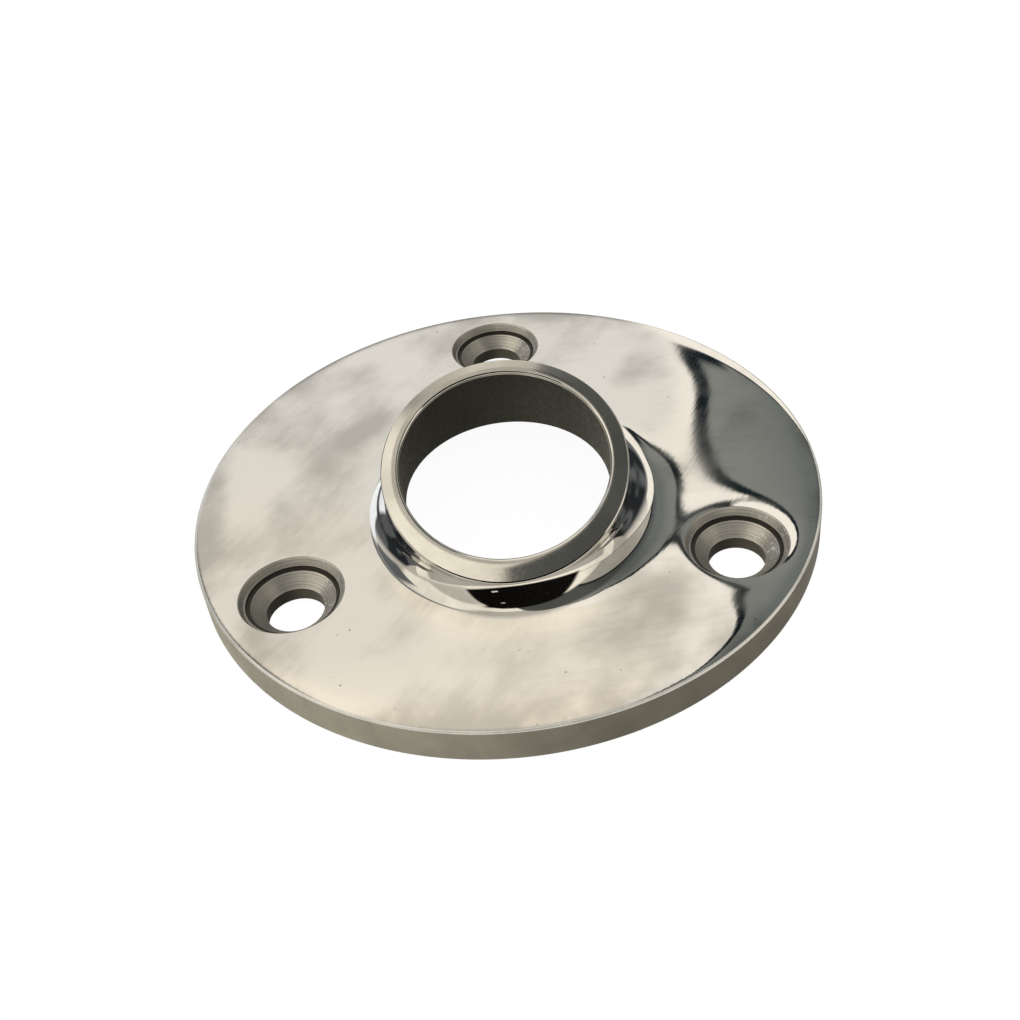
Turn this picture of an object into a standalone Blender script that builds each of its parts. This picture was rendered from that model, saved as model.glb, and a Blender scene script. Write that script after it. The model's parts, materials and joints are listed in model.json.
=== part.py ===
"""Raked stanchion base: a round screw-down plate with a short leaning tube socket welded on it.

The plate lies on the deck at z = 0. The socket leans towards -Y. Run in Blender 4.5.
"""
from math import cos, pi, radians, sin, tan

import bmesh
import bpy
from mathutils import Matrix

MM = 0.001

# Round plate
PLATE_RADIUS = 39.0 * MM
PLATE_THICKNESS = 4.5 * MM
EDGE_CHAMFER = 0.4 * MM

# Raised centre of the plate, and the relief under it
BOSS_HEIGHT = 6.0 * MM
BOSS_MARGIN = 1.2 * MM
FOOT_CENTRE_Y = -3.3 * MM
FOOT_HALF_X = 18.2 * MM
FOOT_HALF_Y = 19.8 * MM
RELIEF_RADIUS = 18.8 * MM

# Leaning tube socket
RAKE = radians(21.0)
AXIS_Y_AT_DECK = -0.7 * MM
BORE_RADIUS = 12.6 * MM
COLLAR_RADIUS = 14.9 * MM
RIM_REACH = 13.7 * MM
RIM_FLAT = 0.9 * MM
BEVEL_DROP = 0.9 * MM

# Weld between collar and plate
WELD_WIDTH = 1.1 * MM
WELD_HEIGHT_MEAN = 2.4 * MM
WELD_HEIGHT_SWING = 2.0 * MM
WELD_HOLLOW = 0.35
WELD_LIP = 0.05 * MM

# Three screw holes
HOLE_COUNT = 3
HOLE_CIRCLE_RADIUS = 30.25 * MM
FIRST_HOLE_ANGLE = radians(90.0)
COUNTERBORE_RADIUS = 6.05 * MM
COUNTERBORE_DEPTH = 0.7 * MM
LEDGE_INNER_RADIUS = 5.35 * MM
CONE_RADIUS = 5.15 * MM
CONE_START_DEPTH = 1.35 * MM
CONE_END_DEPTH = 2.45 * MM
SCREW_HOLE_RADIUS = 3.4 * MM

# Modelling choices
JOINT_GAP = 0.1 * MM
CUT_OVERRUN = 1.0 * MM
RING_STEPS = 96
HOLE_STEPS = 48

POLISHED_STEEL = ("polished_steel", (0.82, 0.80, 0.76, 1.0), 0.08)
SATIN_STEEL = ("satin_steel", (0.66, 0.64, 0.60, 1.0), 0.30)
WELD_STEEL = ("weld_steel", (0.78, 0.76, 0.73, 1.0), 0.12)


def clear_objects():
    for old in list(bpy.data.objects):
        bpy.data.objects.remove(old, do_unlink=True)


def steel(name, colour, roughness):
    material = bpy.data.materials.new(name)
    material.use_nodes = True
    shader = material.node_tree.nodes["Principled BSDF"]
    shader.inputs["Base Color"].default_value = colour
    shader.inputs["Metallic"].default_value = 1.0
    shader.inputs["Roughness"].default_value = roughness
    return material


def ring_angles():
    return [2.0 * pi * step / RING_STEPS for step in range(RING_STEPS)]


def ellipse_ring(half_x, half_y, centre_y, height):
    """Level ring, drawn counter-clockwise as seen from above."""
    return [(half_x * cos(a), centre_y + half_y * sin(a), height) for a in ring_angles()]


def level_cut(radius, height):
    """Ring where a level plane cuts the leaning cylinder of this radius."""
    return ellipse_ring(radius, radius / cos(RAKE), AXIS_Y_AT_DECK - height * tan(RAKE), height)


def square_cut(radius, reach):
    """Ring square to the leaning axis, this far along it from the deck."""
    centre_y = AXIS_Y_AT_DECK - reach * sin(RAKE)
    centre_z = reach * cos(RAKE)
    return [
        (
            radius * cos(a),
            centre_y + radius * sin(a) * cos(RAKE),
            centre_z + radius * sin(a) * sin(RAKE),
        )
        for a in ring_angles()
    ]


def ring_solid(name, rings, material):
    """Closed tubular solid: each ring is joined to the next, and the last to the first."""
    bm = bmesh.new()
    loops = [[bm.verts.new(point) for point in ring] for ring in rings]
    for index, loop in enumerate(loops):
        following = loops[(index + 1) % len(loops)]
        for step in range(RING_STEPS):
            after = (step + 1) % RING_STEPS
            bm.faces.new((loop[step], loop[after], following[after], following[step]))
    bmesh.ops.recalc_face_normals(bm, faces=bm.faces)
    mesh = bpy.data.meshes.new(name)
    bm.to_mesh(mesh)
    bm.free()
    mesh.materials.append(material)
    mesh.shade_smooth()
    mesh.set_sharp_from_angle(angle=radians(20.0))
    solid = bpy.data.objects.new(name, mesh)
    bpy.context.collection.objects.link(solid)
    return solid


def screw_hole_mesh():
    """Turned cutter for one screw hole: counterbore, ledge, cone and clearance hole."""
    top = PLATE_THICKNESS
    profile = [
        (0.0, top + CUT_OVERRUN),
        (COUNTERBORE_RADIUS, top + CUT_OVERRUN),
        (COUNTERBORE_RADIUS, top - COUNTERBORE_DEPTH),
        (LEDGE_INNER_RADIUS, top - COUNTERBORE_DEPTH),
        (CONE_RADIUS, top - CONE_START_DEPTH),
        (SCREW_HOLE_RADIUS, top - CONE_END_DEPTH),
        (SCREW_HOLE_RADIUS, -CUT_OVERRUN),
        (0.0, -CUT_OVERRUN),
    ]
    bm = bmesh.new()
    verts = [bm.verts.new((radius, 0.0, height)) for radius, height in profile]
    edges = [bm.edges.new(pair) for pair in zip(verts, verts[1:])]
    bmesh.ops.spin(
        bm, geom=verts + edges, axis=(0.0, 0.0, 1.0), cent=(0.0, 0.0, 0.0),
        steps=HOLE_STEPS, angle=2.0 * pi, use_merge=True,
    )
    bmesh.ops.remove_doubles(bm, verts=bm.verts, dist=0.001 * MM)
    bmesh.ops.recalc_face_normals(bm, faces=bm.faces)
    mesh = bpy.data.meshes.new("screw_hole_cutter")
    bm.to_mesh(mesh)
    bm.free()
    return mesh


def cut_screw_holes(plate):
    cutter_mesh = screw_hole_mesh()
    for index in range(HOLE_COUNT):
        angle = FIRST_HOLE_ANGLE + 2.0 * pi * index / HOLE_COUNT
        cutter = bpy.data.objects.new(f"screw_hole_cutter_{index + 1}", cutter_mesh)
        bpy.context.collection.objects.link(cutter)
        cutter.matrix_world = Matrix.Translation(
            (HOLE_CIRCLE_RADIUS * cos(angle), HOLE_CIRCLE_RADIUS * sin(angle), 0.0)
        )
        cutter.hide_render = True
        cutter.display_type = "WIRE"
        cut = plate.modifiers.new(f"screw_hole_{index + 1}", "BOOLEAN")
        cut.operation = "DIFFERENCE"
        cut.solver = "EXACT"
        cut.object = cutter


def build_base_plate(material):
    rim = PLATE_RADIUS
    inset = PLATE_RADIUS - EDGE_CHAMFER
    plate = ring_solid(
        "base_plate",
        [
            ellipse_ring(RELIEF_RADIUS, RELIEF_RADIUS, 0.0, 0.0),
            ellipse_ring(inset, inset, 0.0, 0.0),
            ellipse_ring(rim, rim, 0.0, EDGE_CHAMFER),
            ellipse_ring(rim, rim, 0.0, PLATE_THICKNESS - EDGE_CHAMFER),
            ellipse_ring(inset, inset, 0.0, PLATE_THICKNESS),
            ellipse_ring(FOOT_HALF_X, FOOT_HALF_Y, FOOT_CENTRE_Y, PLATE_THICKNESS),
            level_cut(COLLAR_RADIUS + BOSS_MARGIN, BOSS_HEIGHT),
            level_cut(BORE_RADIUS, BOSS_HEIGHT),
        ],
        material,
    )
    cut_screw_holes(plate)


def build_socket_collar(material):
    base = BOSS_HEIGHT + JOINT_GAP
    ring_solid(
        "socket_collar",
        [
            level_cut(BORE_RADIUS, base),
            level_cut(COLLAR_RADIUS, base),
            square_cut(COLLAR_RADIUS, RIM_REACH - BEVEL_DROP),
            square_cut(BORE_RADIUS + RIM_FLAT, RIM_REACH),
            square_cut(BORE_RADIUS, RIM_REACH),
        ],
        material,
    )


def weld_ring(out_share, up_share):
    """Ring on the weld's face: its share of the weld's width out, and of its height up."""
    base = BOSS_HEIGHT + JOINT_GAP
    inner = COLLAR_RADIUS + JOINT_GAP
    radius = inner + WELD_LIP + (WELD_WIDTH - WELD_LIP - JOINT_GAP) * out_share
    points = []
    for angle, (x, y, z) in zip(ring_angles(), level_cut(radius, base)):
        climb = (WELD_HEIGHT_MEAN + WELD_HEIGHT_SWING * sin(angle)) * up_share
        points.append((x, y - climb * sin(RAKE), z + climb * cos(RAKE)))
    return points


def build_weld_fillet(material):
    inner = COLLAR_RADIUS + JOINT_GAP
    foot = level_cut(inner, BOSS_HEIGHT + JOINT_GAP)
    crown = []
    for angle, (x, y, z) in zip(ring_angles(), foot):
        climb = WELD_HEIGHT_MEAN + WELD_HEIGHT_SWING * sin(angle)
        crown.append((x, y - climb * sin(RAKE), z + climb * cos(RAKE)))
    ring_solid(
        "weld_fillet",
        [foot, weld_ring(1.0, 0.0), weld_ring(WELD_HOLLOW, WELD_HOLLOW), weld_ring(0.0, 1.0), crown],
        material,
    )


clear_objects()
build_base_plate(steel(*POLISHED_STEEL))
build_socket_collar(steel(*SATIN_STEEL))
build_weld_fillet(steel(*WELD_STEEL))
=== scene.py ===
"""Looks of a polished stainless stanchion base: round deck plate, leaning socket and the weld between them."""

import json
import math

import bpy
import numpy as np
from mathutils import Matrix, Vector
from mathutils.geometry import delaunay_2d_cdt


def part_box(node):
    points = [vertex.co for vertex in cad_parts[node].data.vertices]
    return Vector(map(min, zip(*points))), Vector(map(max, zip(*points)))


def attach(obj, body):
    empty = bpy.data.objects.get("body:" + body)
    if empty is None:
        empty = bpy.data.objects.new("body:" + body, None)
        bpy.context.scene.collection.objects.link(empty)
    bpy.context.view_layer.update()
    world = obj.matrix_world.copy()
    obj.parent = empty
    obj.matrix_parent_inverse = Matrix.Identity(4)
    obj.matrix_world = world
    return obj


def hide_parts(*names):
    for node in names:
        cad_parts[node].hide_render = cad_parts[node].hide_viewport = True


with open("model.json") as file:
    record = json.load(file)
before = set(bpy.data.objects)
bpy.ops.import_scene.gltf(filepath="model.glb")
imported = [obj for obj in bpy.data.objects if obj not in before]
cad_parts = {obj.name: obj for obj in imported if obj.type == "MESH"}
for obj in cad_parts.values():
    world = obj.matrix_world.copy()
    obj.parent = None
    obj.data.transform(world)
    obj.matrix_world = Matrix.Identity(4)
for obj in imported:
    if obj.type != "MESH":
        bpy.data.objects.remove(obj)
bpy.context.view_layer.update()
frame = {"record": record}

MM = 0.001
AROUND_SOCKET = 240
AROUND_EDGE = 480
AROUND_HOLE = 96
RIM_STEPS = 8
# Bands round the plate's top edge that carry the painted highlight.
HIGHLIGHT_BANDS = 4

# What the frame says about the three parts.
mounts = {mount["name"]: mount for mount in frame["record"]["mounts"]}
plate_low, plate_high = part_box("base_plate")
PLATE_RADIUS = plate_high.x
BOSS_TOP = plate_high.z
ledges = np.array([m["pos_m"] for name, m in mounts.items() if name.startswith("screw_ledge")])
LEDGE_HEIGHT = ledges[0, 2]
HOLE_CENTRES = ledges[:, :2] - ledges[:, :2].mean(axis=0)
AXIS = np.array(mounts["socket_rim"]["axis"])
ACROSS = np.array([1.0, 0.0, 0.0])
UPHILL = np.cross(AXIS, ACROSS)
AXIS_AT_DECK = np.array([0.0, -0.7 * MM, 0.0])
RIM_REACH = float((np.array(mounts["socket_rim"]["pos_m"]) - AXIS_AT_DECK) @ AXIS)

# Plate: its edge is rounded over, its top dips a little towards each screw hole and swells beside one of them.
COUNTERBORE_DEPTH = 0.7 * MM
PLATE_TOP = LEDGE_HEIGHT + COUNTERBORE_DEPTH
EDGE_ROUND = 0.3 * MM
UNDERSIDE_ROUND = 0.15 * MM
RELIEF_RADIUS = 18.8 * MM
ROLL_OFF_DEPTH = 0.12 * MM
ROLL_OFF_LENGTH = 0.7 * MM
DISH_DEPTH = 0.09 * MM
DISH_LENGTH = 2.0 * MM
DISH_SHIFT = np.array([0.5 * MM, 0.4 * MM])
SWELL_PLACE = np.array([22.5 * MM, -23.5 * MM])
SWELL_HEIGHT = 0.04 * MM
SWELL_RADIUS = 4 * MM
BORDER_ROWS = (0.25, 0.55, 0.95, 1.45, 2.05, 2.75)
SPREAD_PITCH = 0.85 * MM
SPREAD_CLEAR = 3.2 * MM
ROW_CLEAR = 0.2 * MM
SLOPE_STEP = 0.01 * MM

# Screw holes: a sloping counterbore, a thin ledge, a groove and a countersink.
COUNTERBORE_RADIUS = 6.1 * MM
HOLE_LIP_ROUND = 0.18 * MM
SEAT_RADIUS = 5.75 * MM
SEAT_HEIGHT = 3.6 * MM
GROOVE_RADIUS = 5.5 * MM
GROOVE_HEIGHT = 3.2 * MM
CONE_RADIUS = 5.0 * MM
CONE_FOOT_HEIGHT = 1.75 * MM
SCREW_HOLE_RADIUS = 3.4 * MM
TURNED_ROUND = 0.05 * MM

# Foot of the socket, where the plate sweeps up to the collar.
FOOT_CENTRE = np.array([0.4 * MM, -3.3 * MM])
FOOT_HALF = np.array([17.85 * MM, 19.8 * MM])
FOOT_TAIL_SLOPE = 0.125
FOOT_TAIL_SLOPE_SWING = 0.045
FOOT_TAIL_LENGTH = 1.6 * MM
HALF_SWEEP_STEPS = 20
WELD_SHARE = 0.5
SWEEP_FLARE = 0.95
TOP_HANDLE = 0.55
TOP_HANDLE_LESS = 0.3
FOOT_HANDLE = 0.5
FOOT_HANDLE_LESS = 0.05

# Socket collar.
BORE_RADIUS = 12.6 * MM
COLLAR_RADIUS = 14.7 * MM
NEAR_WALL_EXTRA = 1.1 * MM
WALL_SHARPNESS = 4
SWEEP_SHARPNESS = 8
CROWN_RADIUS = 13.25 * MM
LIP_DROP = 0.02 * MM
EDGE_DROP = 0.18 * MM
BORE_LIP_ROUND = 0.34 * MM
CROWN_ROUND = 3.5 * MM
RIM_EDGE_ROUND = 0.22 * MM
WELD_CLIMB_MEAN = 2.6 * MM
WELD_CLIMB_SWING = 1.75 * MM
FAR_RIM_DROP = 0.24 * MM
HIDDEN_GAP = 0.02 * MM


def unit(vectors):
    return vectors / np.linalg.norm(vectors, axis=-1, keepdims=True)


def turn_angles(steps):
    return np.arange(steps) * 2 * math.pi / steps


def circle(centre, radius, steps):
    angles = turn_angles(steps)
    return np.column_stack([np.cos(angles), np.sin(angles)]) * radius + centre


# ---- Shapes as formulas.

def foot_distance(x, y):
    """How far a point lies outside the foot's outline."""
    dx, dy = x - FOOT_CENTRE[0], y - FOOT_CENTRE[1]
    share = np.maximum(np.hypot(dx / FOOT_HALF[0], dy / FOOT_HALF[1]), 1e-6)
    return np.hypot(dx, dy) * (1 - 1 / share)


def deck_height(x, y):
    """Height of the hand-polished top face."""
    bearing = np.arctan2(y - FOOT_CENTRE[1], x - FOOT_CENTRE[0])
    slope = FOOT_TAIL_SLOPE - FOOT_TAIL_SLOPE_SWING * np.sin(bearing)
    height = PLATE_TOP + slope * FOOT_TAIL_LENGTH * np.exp(-foot_distance(x, y) / FOOT_TAIL_LENGTH)
    height = height - ROLL_OFF_DEPTH * np.exp((np.hypot(x, y) - PLATE_RADIUS) / ROLL_OFF_LENGTH)
    for cx, cy in HOLE_CENTRES + DISH_SHIFT:
        outside = np.hypot(x - cx, y - cy) - COUNTERBORE_RADIUS
        height = height - DISH_DEPTH * np.exp(-outside / DISH_LENGTH)
    off_swell = np.hypot(x - SWELL_PLACE[0], y - SWELL_PLACE[1]) / SWELL_RADIUS
    return height + SWELL_HEIGHT * np.exp(-off_swell ** 2 / 2)


def deck_points(flat):
    return np.column_stack([flat, deck_height(flat[:, 0], flat[:, 1])])


def deck_normals(flat):
    x, y = flat[:, 0], flat[:, 1]
    step = SLOPE_STEP
    slope_x = (deck_height(x + step, y) - deck_height(x - step, y)) / (2 * step)
    slope_y = (deck_height(x, y + step) - deck_height(x, y - step)) / (2 * step)
    return unit(np.column_stack([-slope_x, -slope_y, np.ones(len(x))]))


def about_axis(radius, angles, reach):
    """A ring about the leaning axis; its reach along the axis may differ round the ring."""
    radius, reach = (np.broadcast_to(value, angles.shape)[:, None] for value in (radius, reach))
    out = np.outer(np.cos(angles), ACROSS) + np.outer(np.sin(angles), UPHILL)
    return AXIS_AT_DECK + radius * out + reach * AXIS


def level_reach(radius, angles, height):
    """The reach at which a ring about the leaning axis passes through one height."""
    return (height - radius * np.sin(angles) * UPHILL[2]) / AXIS[2]


def near_side(angles, sharpness):
    """1 on the side the collar leans to, fading to 0 on the far side."""
    return ((1 - np.sin(angles)) / 2) ** sharpness


def rim_drop(angles):
    """How far the rim sinks on the side away from the lean, its highest."""
    return FAR_RIM_DROP * near_side(-angles, WALL_SHARPNESS)


def wall_radius(angles):
    """The collar's outer radius: its wall is thicker on the side it leans to."""
    return COLLAR_RADIUS + NEAR_WALL_EXTRA * near_side(angles, WALL_SHARPNESS)


def weld_top(angles):
    radius = wall_radius(angles)
    climb = WELD_CLIMB_MEAN + WELD_CLIMB_SWING * np.sin(angles)
    return about_axis(radius, angles, level_reach(radius, angles, BOSS_TOP) + climb)


def sweep(t, angles):
    """The concave sweep from the collar's wall (t=0) down to the plate (t=1): a Bezier curve at each angle."""
    top = weld_top(angles)
    flat = np.column_stack([np.cos(angles), np.sin(angles)]) * FOOT_HALF + FOOT_CENTRE
    foot = deck_points(flat)
    outward = unit(foot[:, :2] - top[:, :2])
    span = np.linalg.norm(foot[:, :2] - top[:, :2], axis=1)[:, None]
    rise = top[:, 2:] - foot[:, 2:]
    slope = (foot[:, 2] - deck_points(flat - outward * SLOPE_STEP)[:, 2]) / SLOPE_STEP
    near = near_side(angles, SWEEP_SHARPNESS)[:, None]
    level_out = np.column_stack([outward, np.zeros(len(outward))])
    down_wall = unit(SWEEP_FLARE * near * level_out - AXIS)
    after_top = top + down_wall * rise * (TOP_HANDLE - TOP_HANDLE_LESS * near)
    before_foot = foot - np.column_stack([outward, slope]) * span * (FOOT_HANDLE - FOOT_HANDLE_LESS * near)
    return (top * (1 - t) ** 3 + 3 * after_top * t * (1 - t) ** 2
            + 3 * before_foot * t ** 2 * (1 - t) + foot * t ** 3)


def sweep_normals(t, angles):
    small = 1e-3
    t = min(max(t, small), 1 - small)
    downwards = sweep(t + small, angles) - sweep(t - small, angles)
    round_about = sweep(t, angles + small) - sweep(t, angles - small)
    return unit(np.cross(downwards, round_about))


def rounded(corners, steps=5):
    """Rows (radius, height, normal out, normal up) of a profile drawn with its outside on the left.

    Each corner is (radius, height, rounding); the two ends aren't rounded."""
    places = np.array([corner[:2] for corner in corners])
    ways = unit(np.diff(places, axis=0))
    outsides = np.column_stack([-ways[:, 1], ways[:, 0]])
    rows = [(*places[0], *outsides[0])]
    for i in range(1, len(corners) - 1):
        before, after = ways[i - 1], ways[i]
        turn = math.atan2(before[0] * after[1] - before[1] * after[0], before @ after)
        rounding = corners[i][2]
        first = places[i] - before * rounding * math.tan(abs(turn) / 2)
        bulge = -math.copysign(rounding, turn)
        centre = first - bulge * outsides[i - 1]
        for k in range(steps + 1):
            cos, sin = math.cos(turn * k / steps), math.sin(turn * k / steps)
            nx, ny = outsides[i - 1]
            normal = np.array([nx * cos - ny * sin, nx * sin + ny * cos])
            rows.append((*(centre + bulge * normal), *normal))
    rows.append((*places[-1], *outsides[-1]))
    return rows


# ---- Mesh building.

class Shell:
    """Gathers rings of points and the faces between them, each face corner with its own exact normal."""

    def __init__(self):
        self.points = np.zeros((0, 3))
        self.faces = []
        self.normals = []
        self.finishes = []

    def add(self, points):
        first = len(self.points)
        self.points = np.vstack([self.points, points])
        return np.arange(first, first + len(points))

    def band(self, first, first_normals, second, second_normals, finish):
        """Faces between two rings, drawn with the outside on the left."""
        following = np.roll(np.arange(len(first)), -1)
        for i, j in enumerate(following):
            self.faces.append((first[i], second[i], second[j], first[j]))
            self.normals += [first_normals[i], second_normals[i], second_normals[j], first_normals[j]]
            self.finishes.append(finish)

    def plain_band(self, first, second, finish):
        """Faces between two rings, with each facet's own normal."""
        start = self.points[first]
        facets = unit(np.cross(self.points[second] - start, np.roll(start, -1, axis=0) - start))
        self.band(first, facets, second, facets, finish)

    def fill(self, loops, inner, is_part, normals, finish):
        """Triangles over the flat region between loops, hung on the loops and the inner points."""
        used = np.concatenate(loops + [inner])
        flat = self.points[used][:, :2]
        edges, at = [], 0
        for loop in loops:
            ring = np.arange(at, at + len(loop))
            edges += list(zip(ring.tolist(), np.roll(ring, -1).tolist()))
            at += len(loop)
        found = delaunay_2d_cdt([Vector(place) for place in flat], edges, [], 0, 1e-8)
        source = [origin[0] for origin in found[3]]
        triangles = np.array([[source[v] for v in face] for face in found[2]])
        middle = flat[triangles].mean(axis=1)
        triangles = triangles[is_part(middle[:, 0], middle[:, 1])]
        a, b, c = (flat[triangles[:, k]] for k in range(3))
        turn = (b - a)[:, 0] * (c - a)[:, 1] - (b - a)[:, 1] * (c - a)[:, 0]
        wrong = turn * normals[0, 2] < 0
        triangles[wrong] = triangles[wrong][:, ::-1]
        for triangle in triangles:
            self.faces.append(tuple(used[triangle]))
            self.normals += [normals[v] for v in triangle]
            self.finishes.append(finish)

    def build(self, name, finishes):
        mesh = bpy.data.meshes.new(name)
        mesh.from_pydata(self.points.tolist(), [], [[int(v) for v in face] for face in self.faces])
        for material in finishes:
            mesh.materials.append(material)
        mesh.polygons.foreach_set("material_index", self.finishes)
        mesh.polygons.foreach_set("use_smooth", [True] * len(self.faces))
        mesh.normals_split_custom_set(np.array(self.normals).tolist())
        piece = bpy.data.objects.new(name, mesh)
        bpy.context.scene.collection.objects.link(piece)
        return piece


def turned_rings(shell, rows, centre, steps, lift):
    """Rings of a profile turned about an upright line; lift raises the rows that meet the top face."""
    angles = turn_angles(steps)
    out = np.column_stack([np.cos(angles), np.sin(angles)])
    rings = []
    for radius, height, normal_out, normal_up in rows:
        heights = np.full(steps, height)
        if height > PLATE_TOP - EDGE_ROUND * 1.01:
            heights = heights + lift
        ring = shell.add(np.column_stack([out * radius + centre, heights]))
        rings.append((ring, np.column_stack([out * normal_out, np.full(steps, normal_up)])))
    return rings


def hole_profile():
    return [
        (SCREW_HOLE_RADIUS + 1 * MM, 0, 0),
        (SCREW_HOLE_RADIUS, 0, UNDERSIDE_ROUND),
        (SCREW_HOLE_RADIUS, CONE_FOOT_HEIGHT, TURNED_ROUND),
        (CONE_RADIUS, GROOVE_HEIGHT, TURNED_ROUND),
        (GROOVE_RADIUS, GROOVE_HEIGHT, TURNED_ROUND),
        (GROOVE_RADIUS, SEAT_HEIGHT, TURNED_ROUND),
        (SEAT_RADIUS, SEAT_HEIGHT, TURNED_ROUND),
        (COUNTERBORE_RADIUS, PLATE_TOP, HOLE_LIP_ROUND),
        (COUNTERBORE_RADIUS + 1 * MM, PLATE_TOP, 0),
    ]


def edge_profile():
    return [
        (PLATE_RADIUS - 1 * MM, PLATE_TOP, 0),
        (PLATE_RADIUS, PLATE_TOP, EDGE_ROUND),
        (PLATE_RADIUS, 0, UNDERSIDE_ROUND),
        (PLATE_RADIUS - 1 * MM, 0, 0),
    ]


def on_deck(x, y, clear=0.0):
    """Whether a point is on the plate's top face, that far from its borders."""
    part = np.hypot(x, y) < PLATE_RADIUS - EDGE_ROUND - clear
    part &= foot_distance(x, y) > clear
    for cx, cy in HOLE_CENTRES:
        part &= np.hypot(x - cx, y - cy) > COUNTERBORE_RADIUS + HOLE_LIP_ROUND * 0.99 + clear
    return part


def on_underside(x, y):
    part = (np.hypot(x, y) < PLATE_RADIUS) & (np.hypot(x, y) > RELIEF_RADIUS * 0.999)
    for cx, cy in HOLE_CENTRES:
        part &= np.hypot(x - cx, y - cy) > (SCREW_HOLE_RADIUS + UNDERSIDE_ROUND) * 0.99
    return part


def deck_cloud():
    """Points inside the top face: rows along its borders, and an even spread between."""
    cloud = []
    for row in BORDER_ROWS:
        grow = row * MM
        cloud.append(circle((0, 0), PLATE_RADIUS - EDGE_ROUND - grow, AROUND_SOCKET))
        cloud.append(circle((0, 0), 1, AROUND_SOCKET // 2) * (FOOT_HALF + grow) + FOOT_CENTRE)
        for centre in HOLE_CENTRES:
            cloud.append(circle(centre, COUNTERBORE_RADIUS + HOLE_LIP_ROUND + grow, AROUND_HOLE // 2))
    cloud = np.vstack(cloud)
    borders = cloud[on_deck(cloud[:, 0], cloud[:, 1], ROW_CLEAR)]
    row_pitch = SPREAD_PITCH * math.sin(math.pi / 3)
    count = int(2 * PLATE_RADIUS / row_pitch) + 1
    column, row = (grid.ravel() for grid in np.meshgrid(np.arange(count), np.arange(count)))
    spread = np.column_stack([(column + row % 2 / 2) * SPREAD_PITCH, row * row_pitch]) - PLATE_RADIUS
    return np.vstack([borders, spread[on_deck(spread[:, 0], spread[:, 1], SPREAD_CLEAR)]])


def build_plate(finishes):
    polished, edge_highlight, satin, turned, groove_shade, hidden = range(6)
    shell = Shell()
    angles = turn_angles(AROUND_SOCKET)

    # Out of sight from the bore to the weld, then the foot's sweep out to the top face.
    bore = shell.add(about_axis(BORE_RADIUS, angles, level_reach(BORE_RADIUS, angles, BOSS_TOP)))
    steps = [WELD_SHARE + (1 - WELD_SHARE) * k / HALF_SWEEP_STEPS for k in range(HALF_SWEEP_STEPS + 1)]
    rings = [(shell.add(sweep(t, angles)), sweep_normals(t, angles)) for t in steps]
    shell.plain_band(bore, rings[0][0], hidden)
    for (first, first_normals), (second, second_normals) in zip(rings, rings[1:]):
        shell.band(first, first_normals, second, second_normals, polished)
    foot = rings[-1][0]

    # The outer edge and wall.
    rows = rounded(edge_profile())[1:-1]
    at_edge = circle((0, 0), rows[0][0], AROUND_EDGE)
    lift = deck_points(at_edge)[:, 2] - PLATE_TOP
    rings = turned_rings(shell, rows, (0, 0), AROUND_EDGE, lift)
    edge_top, edge_bottom = rings[0][0], rings[-1][0]
    # The first rows round the top edge take a bright, partly diffuse steel: a painted highlight along the
    # plate's edge.
    for k, (one, two) in enumerate(zip(rings, rings[1:])):
        shell.band(*one, *two, edge_highlight if k < HIGHLIGHT_BANDS else satin)

    # The screw holes.
    hole_tops, hole_bottoms = [], []
    for centre in HOLE_CENTRES:
        rows = rounded(hole_profile())[1:-1]
        lift = deck_points(circle(centre, rows[-1][0], AROUND_HOLE))[:, 2] - PLATE_TOP
        rings = turned_rings(shell, rows, centre, AROUND_HOLE, lift)
        hole_bottoms.append(rings[0][0])
        hole_tops.append(rings[-1][0])
        for row, following, one, two in zip(rows, rows[1:], rings, rings[1:]):
            steep = abs(row[3] + following[3]) < 1
            in_groove = min(row[0], following[0]) > CONE_RADIUS - TURNED_ROUND / 2
            low = row[1] < SEAT_HEIGHT - TURNED_ROUND
            # Below the seat, the hole's walls and groove take the nearly black steel: painted shade in these
            # recesses.
            shell.band(*one, *two, groove_shade if low and (steep or in_groove) else turned)

    # The top face and the underside.
    inner = shell.add(deck_points(deck_cloud()))
    loops = [foot, edge_top] + hole_tops
    used = np.concatenate(loops + [inner])
    shell.fill(loops, inner, on_deck, deck_normals(shell.points[used][:, :2]), polished)
    relief_circle = circle((0, 0), RELIEF_RADIUS, AROUND_SOCKET)
    relief = shell.add(np.column_stack([relief_circle, np.zeros(AROUND_SOCKET)]))
    loops = [edge_bottom, relief] + hole_bottoms
    downwards = np.tile([0.0, 0.0, -1.0], (sum(map(len, loops)), 1))
    shell.fill(loops, np.zeros(0, int), on_underside, downwards, hidden)
    shell.plain_band(relief, bore, hidden)
    return shell.build("base_plate_polished", finishes)


def build_weld(finishes):
    shell = Shell()
    angles = turn_angles(AROUND_SOCKET)
    steps = [WELD_SHARE * k / HALF_SWEEP_STEPS for k in range(HALF_SWEEP_STEPS + 1)]
    rings = [(shell.add(sweep(t, angles)), sweep_normals(t, angles)) for t in steps]
    for one, two in zip(rings, rings[1:]):
        shell.band(*one, *two, 0)
    radius = wall_radius(angles) + HIDDEN_GAP
    corner = shell.add(about_axis(radius, angles, level_reach(radius, angles, BOSS_TOP + HIDDEN_GAP)))
    shell.plain_band(rings[-1][0], corner, 0)
    shell.plain_band(corner, rings[0][0], 0)
    return shell.build("weld_fillet_polished", finishes)


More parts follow.
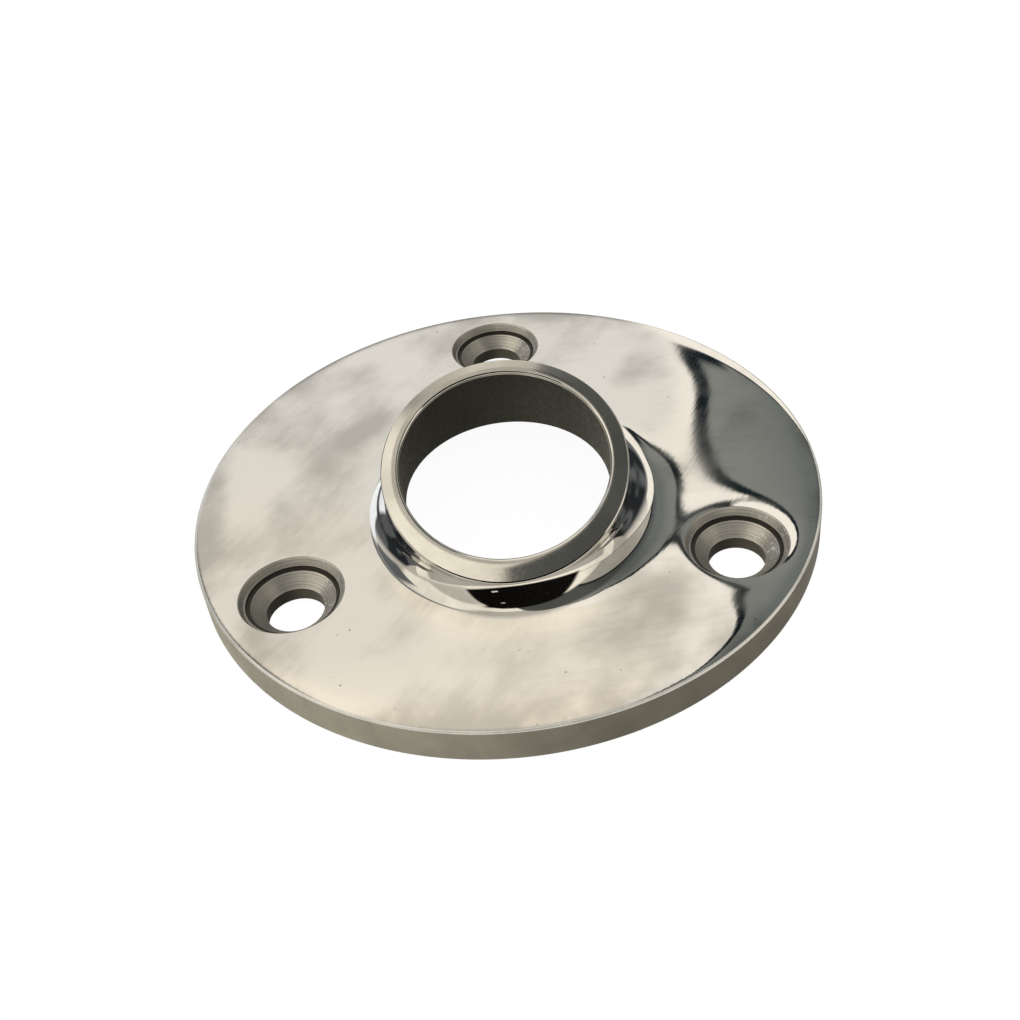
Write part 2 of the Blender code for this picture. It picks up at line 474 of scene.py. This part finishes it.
def build_collar(finishes):
    polished, brushed, bore_shade = range(3)
    shell = Shell()
    angles = turn_angles(AROUND_SOCKET)
    out = np.outer(np.cos(angles), ACROSS) + np.outer(np.sin(angles), UPHILL)
    profile = [
        (BORE_RADIUS, 0, 0),
        (BORE_RADIUS, RIM_REACH - LIP_DROP, BORE_LIP_ROUND),
        (CROWN_RADIUS, RIM_REACH, CROWN_ROUND),
        (COLLAR_RADIUS, RIM_REACH - EDGE_DROP, RIM_EDGE_ROUND),
        (COLLAR_RADIUS, 0, 0),
    ]
    stretch = (wall_radius(angles) - BORE_RADIUS) / (COLLAR_RADIUS - BORE_RADIUS)
    bottom = shell.add(about_axis(BORE_RADIUS, angles, level_reach(BORE_RADIUS, angles, BOSS_TOP)))
    ring, ring_normals = bottom, -out
    rows = rounded(profile, RIM_STEPS)[1:-1]
    for k, (radius, reach, normal_out, normal_up) in enumerate(rows):
        sunk = reach - rim_drop(angles)
        following = shell.add(about_axis(BORE_RADIUS + (radius - BORE_RADIUS) * stretch, angles, sunk))
        normals = unit(out * normal_out + AXIS * normal_up * stretch[:, None])
        on_rim = RIM_STEPS < k <= 2 * RIM_STEPS + 2
        # The first band, the socket's inside wall, takes the nearly black steel: painted shade down the bore.
        finish = bore_shade if k == 0 else brushed if on_rim else polished
        shell.band(ring, ring_normals, following, normals, finish)
        ring, ring_normals = following, normals
    top = shell.add(weld_top(angles))
    shell.band(ring, ring_normals, top, out, polished)
    radius = wall_radius(angles)
    hem = shell.add(about_axis(radius, angles, level_reach(radius, angles, BOSS_TOP)))
    shell.plain_band(top, hem, polished)
    shell.plain_band(hem, bottom, bore_shade)
    return shell.build("socket_collar_polished", finishes)


# ---- Materials.

FLATTEN = 1 / MM


class Nodes:
    """Short ways to lay out shader nodes in one tree."""

    def __init__(self, tree):
        self.tree = tree

    def add(self, kind, **settings):
        node = self.tree.nodes.new(kind)
        for name, value in settings.items():
            setattr(node, name, value)
        return node

    def plug(self, value, socket):
        if isinstance(value, bpy.types.NodeSocket):
            self.tree.links.new(value, socket)
        else:
            socket.default_value = value

    def math(self, operation, *values):
        node = self.add("ShaderNodeMath", operation=operation)
        for value, socket in zip(values, node.inputs):
            self.plug(value, socket)
        return node.outputs[0]

    def ramp(self, value, low, high, to_low=0.0, to_high=1.0):
        """A smooth step from to_low at low to to_high at high."""
        node = self.add("ShaderNodeMapRange", interpolation_type="SMOOTHSTEP")
        for item, socket in zip((value, low, high, to_low, to_high), node.inputs):
            self.plug(item, socket)
        return node.outputs["Result"]

    def mix(self, share, one, two):
        node = self.add("ShaderNodeMix", data_type="RGBA")
        self.plug(share, node.inputs[0])
        self.plug(one, node.inputs[6])
        self.plug(two, node.inputs[7])
        return node.outputs[2]

    def curve(self, value, points, width, tall):
        """A curve through a few points, for values from 0 to width giving 0 to tall."""
        node = self.add("ShaderNodeFloatCurve")
        self.plug(self.math("DIVIDE", value, width), node.inputs["Value"])
        line = node.mapping.curves[0]
        for _ in points[2:]:
            line.points.new(0.5, 0.5)
        for point, (x, y) in zip(line.points, points):
            point.location = (x / width, y / tall)
            point.handle_type = "VECTOR"
        node.mapping.update()
        return self.math("MULTIPLY", node.outputs[0], tall)

    def placed(self, place, where=(0, 0, 0), turn=0.0, size=(1, 1, 1)):
        """Coordinates in a frame set down at a place, turned and stretched."""
        node = self.add("ShaderNodeMapping", vector_type="TEXTURE")
        self.plug(place, node.inputs["Vector"])
        node.inputs["Location"].default_value = where
        node.inputs["Rotation"].default_value = (0, 0, math.radians(turn))
        node.inputs["Scale"].default_value = size
        return node.outputs[0]

    def length(self, vector):
        node = self.add("ShaderNodeVectorMath", operation="LENGTH")
        self.plug(vector, node.inputs[0])
        return node.outputs["Value"]

    def off_upright(self, place, centre=(0, 0)):
        """Distance from an upright line, in the level plane."""
        return self.length(self.placed(place, (*centre, 0), size=(1, 1, FLATTEN)))

    def noise(self, place, scale, detail=2.0, stretch=(1, 1, 1), turn=0.0):
        """Noise drawn out along its own x by the stretch, turned by degrees about z."""
        node = self.add("ShaderNodeTexNoise")
        self.plug(self.placed(place, turn=turn, size=stretch), node.inputs["Vector"])
        node.inputs["Scale"].default_value = scale
        node.inputs["Detail"].default_value = detail
        return node.outputs["Fac"]


def steel(name, colour, roughness, metallic=1.0):
    """A bare steel and the nodes to work on it."""
    material = bpy.data.materials.new(name)
    material.use_nodes = True
    nodes = Nodes(material.node_tree)
    shader = material.node_tree.nodes["Principled BSDF"]
    shader.inputs["Metallic"].default_value = metallic
    shader.inputs["Base Color"].default_value = (*colour, 1)
    shader.inputs["Roughness"].default_value = roughness
    place = nodes.add("ShaderNodeTexCoord").outputs["Object"]
    return material, nodes, shader, place


def bump(nodes, shader, height, distance):
    node = nodes.add("ShaderNodeBump")
    node.inputs["Distance"].default_value = distance
    nodes.plug(height, node.inputs["Height"])
    nodes.plug(node.outputs[0], shader.inputs["Normal"])


# Places on the deck painted darker, in millimetres: x, y, turn in degrees, half length, half width, strength.
# The strips at (-38.5, 2), (-22, 33) and (10, 38.5) lie along the left and top edges and are painted shade;
# the rest are darker patches in the polish.
DARK_PATCHES_AND_EDGE_SHADE = (
    (-24, 6, 56, 15, 5.5, 0.12),
    (-19, 14, 40, 6, 2.5, 0.08),
    (10, -27, 12, 10, 4, 0.08),
    (-38.5, 2, 90, 15, 4.5, 0.2),
    (20, 21, 40, 7, 5, 0.12),
    (19, 8, 60, 7, 4, 0.12),
    (-22, 33, 35, 16, 2.5, 0.2),
    (10, 38.5, -10, 14, 2.5, 0.2),
)
BUFFING_TURN = 56
BRUSHING_TURN = 6
CLOUD_SHARE = 0.91
STREAK_SHARE = 0.09
DULL_POLISH = (0.62, 0.61, 0.585)
BRIGHT_POLISH = (0.99, 0.975, 0.945)
PIT_COLOUR = (0.3, 0.28, 0.25)
PIT_STRENGTH = 0.7


def mirror_steel(name):
    """Hand-polished steel: cloudy haze, buffing marks, a few pits, darker patches, and painted shade near the
    plate's edge.
    """
    material, nodes, shader, place = steel(name, (0.92, 0.90, 0.87), 0.06)
    split = nodes.add("ShaderNodeSeparateXYZ")
    nodes.plug(place, split.inputs[0])
    rightwards = nodes.ramp(split.outputs["X"], -8 * MM, 8 * MM)
    cloud = nodes.noise(place, 90, 9, (1.2, 1, 1), BUFFING_TURN)
    buffed = nodes.noise(place, 1300, 3, (9, 1, 1), BUFFING_TURN)
    brushed = nodes.noise(place, 1600, 3, (6, 1, 1), BRUSHING_TURN)
    streak = nodes.math("ADD", nodes.math("MULTIPLY", buffed, nodes.math("SUBTRACT", 1.0, rightwards)),
                        nodes.math("MULTIPLY", brushed, rightwards))
    streak = nodes.math("MULTIPLY", streak, STREAK_SHARE)
    polish_and_shade = nodes.math("ADD", nodes.math("MULTIPLY", cloud, CLOUD_SHARE), streak)
    # Darken the tone in patches; the strips along the left and top edges are painted shade.
    for x, y, turn, half_length, half_width, strength in DARK_PATCHES_AND_EDGE_SHADE:
        size = (half_length * MM, half_width * MM, 1)
        off = nodes.length(nodes.placed(place, (x * MM, y * MM, PLATE_TOP), turn, size))
        polish_and_shade = nodes.math("SUBTRACT", polish_and_shade, nodes.ramp(off, 0.2, 1.1, strength, 0))
    # Painted shade: a darker band within the outer eighth of the plate's radius, broken up by the cloud.
    near_edge = nodes.ramp(nodes.off_upright(place), 0.88 * PLATE_RADIUS, PLATE_RADIUS)
    edge_shade = nodes.math("MULTIPLY", near_edge, nodes.ramp(cloud, 0.35, 0.6, 0.13, 0.02))
    polish_and_shade = nodes.math("SUBTRACT", polish_and_shade, edge_shade)
    shade = nodes.ramp(polish_and_shade, 0.28, 0.6)
    colour = nodes.mix(shade, (*DULL_POLISH, 1), (*BRIGHT_POLISH, 1))
    pits = nodes.add("ShaderNodeTexVoronoi")
    nodes.plug(place, pits.inputs["Vector"])
    pits.inputs["Scale"].default_value = 700
    dot = nodes.ramp(pits.outputs["Distance"], 0.06, 0.14, 1, 0)
    rare = nodes.ramp(nodes.noise(place, 170, 1), 0.6, 0.68)
    pitted = nodes.math("MULTIPLY", nodes.math("MULTIPLY", dot, rare), PIT_STRENGTH)
    nodes.plug(nodes.mix(pitted, colour, (*PIT_COLOUR, 1)), shader.inputs["Base Color"])
    haze = nodes.ramp(nodes.noise(place, 130, 4), 0.35, 0.7, 0.02, 0.05)
    nodes.plug(haze, shader.inputs["Roughness"])
    grain = nodes.noise(place, 2600, 2, (7, 1, 1), BUFFING_TURN)
    bump(nodes, shader, grain, 0.0005 * MM)
    return material


def satin_steel(name, colour, roughness, metallic=1.0):
    material, nodes, shader, place = steel(name, colour, roughness, metallic)
    cloud = nodes.noise(place, 160, 4)
    dim = tuple(0.82 * c for c in colour)
    nodes.plug(nodes.mix(nodes.ramp(cloud, 0.35, 0.65), (*dim, 1), (*colour, 1)), shader.inputs["Base Color"])
    grain = nodes.noise(place, 3000, 3, (1, 1, 3))
    nodes.plug(nodes.ramp(grain, 0.3, 0.7, roughness * 0.85, roughness * 1.15), shader.inputs["Roughness"])
    bump(nodes, shader, grain, 0.0008 * MM)
    return material


def turned_steel(name, bright, dark, roughness, glint_share):
    """Countersinks cut on a lathe: fine rings about each hole, which spread the light across them. Their
    colour also carries painted light and painted glints.
    """
    material, nodes, shader, place = steel(name, bright, roughness, 0.8)
    along = nodes.add("ShaderNodeVectorMath", operation="CROSS_PRODUCT")
    outside = nodes.add("ShaderNodeNewGeometry").outputs["Normal"]
    nodes.plug(outside, along.inputs[0])
    along.inputs[1].default_value = (0, 0, 1)
    nodes.plug(along.outputs[0], shader.inputs["Tangent"])
    shader.inputs["Anisotropic"].default_value = 0.85
    shader.inputs["Anisotropic Rotation"].default_value = 0.25
    off_centre = 1.0
    for centre in HOLE_CENTRES:
        off_centre = nodes.math("MINIMUM", nodes.off_upright(place, centre), off_centre)
    rings = nodes.add("ShaderNodeTexNoise", noise_dimensions="1D")
    nodes.plug(off_centre, rings.inputs["W"])
    rings.inputs["Scale"].default_value = 7000
    rings.inputs["Detail"].default_value = 2
    cloud = nodes.noise(place, 400, 2)
    tone = nodes.ramp(rings.outputs["Fac"], 0.3, 0.7, 0.6, 1)
    tone = nodes.math("MULTIPLY", tone, nodes.ramp(cloud, 0.35, 0.65, 0.85, 1))
    facing = nodes.add("ShaderNodeSeparateXYZ")
    nodes.plug(outside, facing.inputs[0])
    # Painted light: lighter where the surface faces -y, on each hole's far side, and darker where it faces +y
    # or +x, on its near and left sides.
    tone = nodes.math("MULTIPLY", tone, nodes.ramp(facing.outputs["Y"], -0.6, 0.1, 1, 0.42))
    tone = nodes.math("MULTIPLY", tone, nodes.ramp(facing.outputs["X"], -0.2, 0.5, 1, 0.45))
    colour = nodes.mix(tone, (*dark, 1), (*bright, 1))
    # Painted glints: white specks only where the surface faces -x, on each hole's right side, in the share
    # given.
    painted_glint = nodes.ramp(nodes.noise(place, 2500, 2), 0.58, 0.64)
    painted_glint = nodes.math("MULTIPLY", painted_glint, nodes.ramp(facing.outputs["X"], -0.6, -0.35, glint_share, 0))
    nodes.plug(nodes.mix(painted_glint, colour, (1, 1, 1, 1)), shader.inputs["Base Color"])
    bump(nodes, shader, rings.outputs["Fac"], 0.012 * MM)
    return material


# ---- Stage, light and camera.

# The grey side's border: how far aside it lies at each height over the horizon ahead, in degrees.
BORDER = (
    (20, 7.6), (35.8, 7.8), (36.8, 8.25), (37.5, 8.35), (38.4, 8.15), (39.2, 8.03), (39.8, 8.08), (40.6, 8.25),
    (41.8, 8.65), (43, 9.2), (44.6, 9.6), (46.5, 9.2), (52, 9.4), (57, 9.8), (66, 4.2), (82, 0.8),
)


DARK_LINE = (0.008, 0.013, 0.016)
ROOM_DARK = (0.004, 0.003, 0.003)
CREAM = (0.92, 0.86, 0.73)
BEIGE = (0.42, 0.40, 0.345)


def build_sky():
    """Studio surroundings for reflections: warm light ahead, a grey side, a dark side behind the camera."""
    world = bpy.data.worlds.new("studio")
    bpy.context.scene.world = world
    world.use_nodes = True
    tree = world.node_tree
    tree.nodes.clear()
    nodes = Nodes(tree)
    way = nodes.add("ShaderNodeTexCoord").outputs["Generated"]
    split = nodes.add("ShaderNodeSeparateXYZ")
    nodes.plug(way, split.inputs[0])
    x, y, z = split.outputs
    back = nodes.math("MULTIPLY", y, -1.0)
    degrees = math.degrees(1)
    ahead = nodes.math("MULTIPLY", nodes.math("ARCTAN2", x, y), degrees)
    behind = nodes.math("MULTIPLY", nodes.math("ARCTAN2", x, back), degrees)
    height = nodes.math("MULTIPLY", nodes.math("ARCSINE", z), degrees)
    over = nodes.math("MULTIPLY", nodes.math("ARCTAN2", z, y), degrees)
    aside = nodes.math("MULTIPLY", nodes.math("ARCSINE", x), degrees)

    def within(value, low, high, soft):
        return nodes.math("MULTIPLY", nodes.ramp(value, low - soft, low + soft),
                          nodes.ramp(value, high - soft, high + soft, 1, 0))

    def patch(below, colour, soft, *ranges):
        share = 1.0
        for value, low, high in ranges:
            share = nodes.math("MULTIPLY", share, within(value, low, high, soft))
        return nodes.mix(share, below, (*colour, 1))

    ground = nodes.mix(nodes.ramp(x, -0.7, 0.5), (0.62, 0.59, 0.48, 1), (0.26, 0.245, 0.2, 1))
    streaks = nodes.ramp(nodes.noise(way, 6, 0, (1, 1, 4)), 0.4, 0.64)
    low = nodes.mix(streaks, (0.018, 0.02, 0.023, 1), (0.11, 0.116, 0.118, 1))
    colour = nodes.mix(nodes.ramp(height, -14, -4), ground, low)
    warm = nodes.mix(nodes.ramp(over, 33, 44), (0.72, 0.695, 0.65, 1), (0.74, 0.69, 0.61, 1))
    colour = nodes.mix(nodes.ramp(height, 16, 32.5), colour, warm)
    colour = patch(colour, (0.9, 0.82, 0.68), 3, (over, 49, 61), (aside, -17, 5))
    colour = nodes.mix(nodes.ramp(over, 60, 67), colour, (0.48, 0.45, 0.39, 1))
    colour = nodes.mix(nodes.ramp(over, 85.5, 88.5), colour, (*CREAM, 1))
    # Beside the camera.
    colour = patch(colour, (0.52, 0.49, 0.425), 6, (ahead, -130, -52), (height, 24, 64))
    colour = patch(colour, (0.90, 0.84, 0.72), 3, (aside, -60, -15), (over, 64, 100))
    # Left and ahead.
    colour = patch(colour, (0.12, 0.13, 0.13), 2.5, (ahead, -67, -38), (height, 31, 50))
    colour = patch(colour, (0.13, 0.14, 0.145), 2.5, (ahead, -37, -28), (height, 35.5, 64))
    colour = patch(colour, (0.93, 0.95, 0.98), 2, (ahead, -43, -24), (height, 5, 34))
    # Low on the right.
    colour = patch(colour, (0.90, 0.85, 0.76), 1.5, (ahead, 9, 44), (height, 23, 60))
    # The grey side, parted from the warm light by a thin dark line.
    border = nodes.curve(over, BORDER, 90, 12)
    beyond = nodes.math("SUBTRACT", aside, border)
    edge = nodes.math("SMOOTH_MIN", beyond, nodes.math("SUBTRACT", height, 34.6), 2.0)
    grey = nodes.math("MULTIPLY", nodes.ramp(edge, -0.1, 0.1), nodes.ramp(over, 100, 106, 1, 0))
    grey_tone = nodes.mix(nodes.ramp(aside, 8, 14), (0.225, 0.228, 0.212, 1), (0.14, 0.15, 0.14, 1))
    grey_tone = nodes.mix(nodes.ramp(aside, 15, 25), grey_tone, (0.09, 0.098, 0.098, 1))
    grey_tone = nodes.mix(nodes.ramp(over, 60, 70), grey_tone, (0.075, 0.076, 0.07, 1))
    grey_tone = nodes.mix(within(aside, 27, 30, 0.5), grey_tone, (0.02, 0.022, 0.022, 1))
    grey_tone = nodes.mix(nodes.ramp(aside, 29.5, 30.5), grey_tone, (*BEIGE, 1))
    colour = nodes.mix(grey, colour, grey_tone)
    line = nodes.math("MULTIPLY", within(edge, -0.4, 0.25, 0.12), nodes.ramp(height, 58, 62, 1, 0))
    colour = nodes.mix(line, colour, (*DARK_LINE, 1))
    colour = patch(colour, DARK_LINE, 0.4, (aside, 7.5, 9.8), (height, 34.3, 35.7))
    # Behind the camera: dark above with two small lights in it, paler near the floor.
    colour = patch(colour, (0.42, 0.4, 0.35), 2, (behind, -80, 80), (height, -6, 21))
    colour = patch(colour, ROOM_DARK, 2.5, (over, 99, 200), (height, 30, 120), (behind, -50, 58))
    colour = patch(colour, ROOM_DARK, 2, (over, 100, 122), (aside, -18, 20))
    colour = patch(colour, (0.8, 0.78, 0.72), 0.7, (behind, -27, -21), (height, 38, 40.5))
    colour = patch(colour, (0.5, 0.48, 0.44), 0.7, (behind, -27, -22), (height, 62, 64))
    light_path = nodes.add("ShaderNodeLightPath")
    mirrored = nodes.add("ShaderNodeBackground")
    nodes.plug(colour, mirrored.inputs["Color"])
    plain = nodes.add("ShaderNodeBackground")
    plain.inputs["Color"].default_value = (1, 1, 1, 1)
    choice = nodes.add("ShaderNodeMixShader")
    nodes.plug(light_path.outputs["Is Glossy Ray"], choice.inputs[0])
    nodes.plug(plain.outputs[0], choice.inputs[1])
    nodes.plug(mirrored.outputs[0], choice.inputs[2])
    nodes.plug(choice.outputs[0], nodes.add("ShaderNodeOutputWorld").inputs["Surface"])


FLOOR_HALF = 60 * PLATE_RADIUS
FLOOR_GAP = 0.05 * MM
FLOOR_GLOW = 0.95


def build_floor():
    mesh = bpy.data.meshes.new("floor")
    corners = [(x * FLOOR_HALF, y * FLOOR_HALF, 0) for x, y in ((-1, -1), (1, -1), (1, 1), (-1, 1))]
    mesh.from_pydata(corners, [], [(0, 1, 2, 3)])
    floor = bpy.data.objects.new("floor", mesh)
    floor.location.z = plate_low.z - FLOOR_GAP
    bpy.context.scene.collection.objects.link(floor)
    material = bpy.data.materials.new("pale_floor")
    material.use_nodes = True
    shader = material.node_tree.nodes["Principled BSDF"]
    shader.inputs["Base Color"].default_value = (0.09, 0.09, 0.09, 1)
    shader.inputs["Roughness"].default_value = 1.0
    shader.inputs["Specular IOR Level"].default_value = 0.0
    shader.inputs["Emission Color"].default_value = (1, 1, 1, 1)
    shader.inputs["Emission Strength"].default_value = FLOOR_GLOW
    mesh.materials.append(material)
    floor.visible_glossy = False


CAMERA_PLACE = Vector((2.17, -123.87, 110.65)) * MM
CAMERA_AIM = Vector((10.08, 7.17, 4.5)) * MM
CAMERA_ROLL = math.radians(4.265)
CAMERA_LENS = 45.63
CAMERA_SHIFT = -0.07


def build_camera():
    camera = bpy.data.objects.new("camera", bpy.data.cameras.new("camera"))
    bpy.context.scene.collection.objects.link(camera)
    camera.data.lens = CAMERA_LENS
    camera.data.shift_x = CAMERA_SHIFT
    camera.data.shift_y = CAMERA_SHIFT
    camera.data.clip_start = 1 * MM
    level = (CAMERA_AIM - CAMERA_PLACE).to_track_quat("-Z", "Y").to_matrix()
    rolled = level @ Matrix.Rotation(-CAMERA_ROLL, 3, "Z")
    camera.matrix_world = Matrix.Translation(CAMERA_PLACE) @ rolled.to_4x4()
    bpy.context.scene.camera = camera


mirror = mirror_steel("mirror_polish")
# Painted highlight: bright, partly diffuse steel on the plate's rounded top edge.
edge = satin_steel("edge_painted_highlight", (0.9, 0.87, 0.8), 0.35, 0.6)
satin = satin_steel("satin_edge", (0.5, 0.48, 0.44), 0.35)
brushed = satin_steel("brushed_rim", (0.95, 0.93, 0.88), 0.09)
turned = turned_steel("turned_seat", (0.98, 0.94, 0.84), (0.16, 0.155, 0.135), 0.42, 0.7)
# Painted shade: nearly black turned steel for the screw holes' groove and lower walls.
groove_shade = turned_steel("groove_painted_shade", (0.13, 0.12, 0.1), (0.03, 0.028, 0.024), 0.35, 0)
# Painted shade: nearly black steel for the socket's inside wall, also used on faces out of sight.
bore_shade = satin_steel("bore_painted_shade", (0.065, 0.065, 0.058), 0.5)

plate = build_plate([mirror, edge, satin, turned, groove_shade, bore_shade])
collar = build_collar([mirror, brushed, bore_shade])
weld = build_weld([mirror])
for piece, node, slot in (
    (plate, "base_plate", "polished_steel"),
    (collar, "socket_collar", "satin_steel"),
    (weld, "weld_fillet", "weld_steel"),
):
    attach(piece, "root")
    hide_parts(node)

build_sky()
build_floor()
build_camera()
bpy.context.scene.view_settings.view_transform = "Standard"
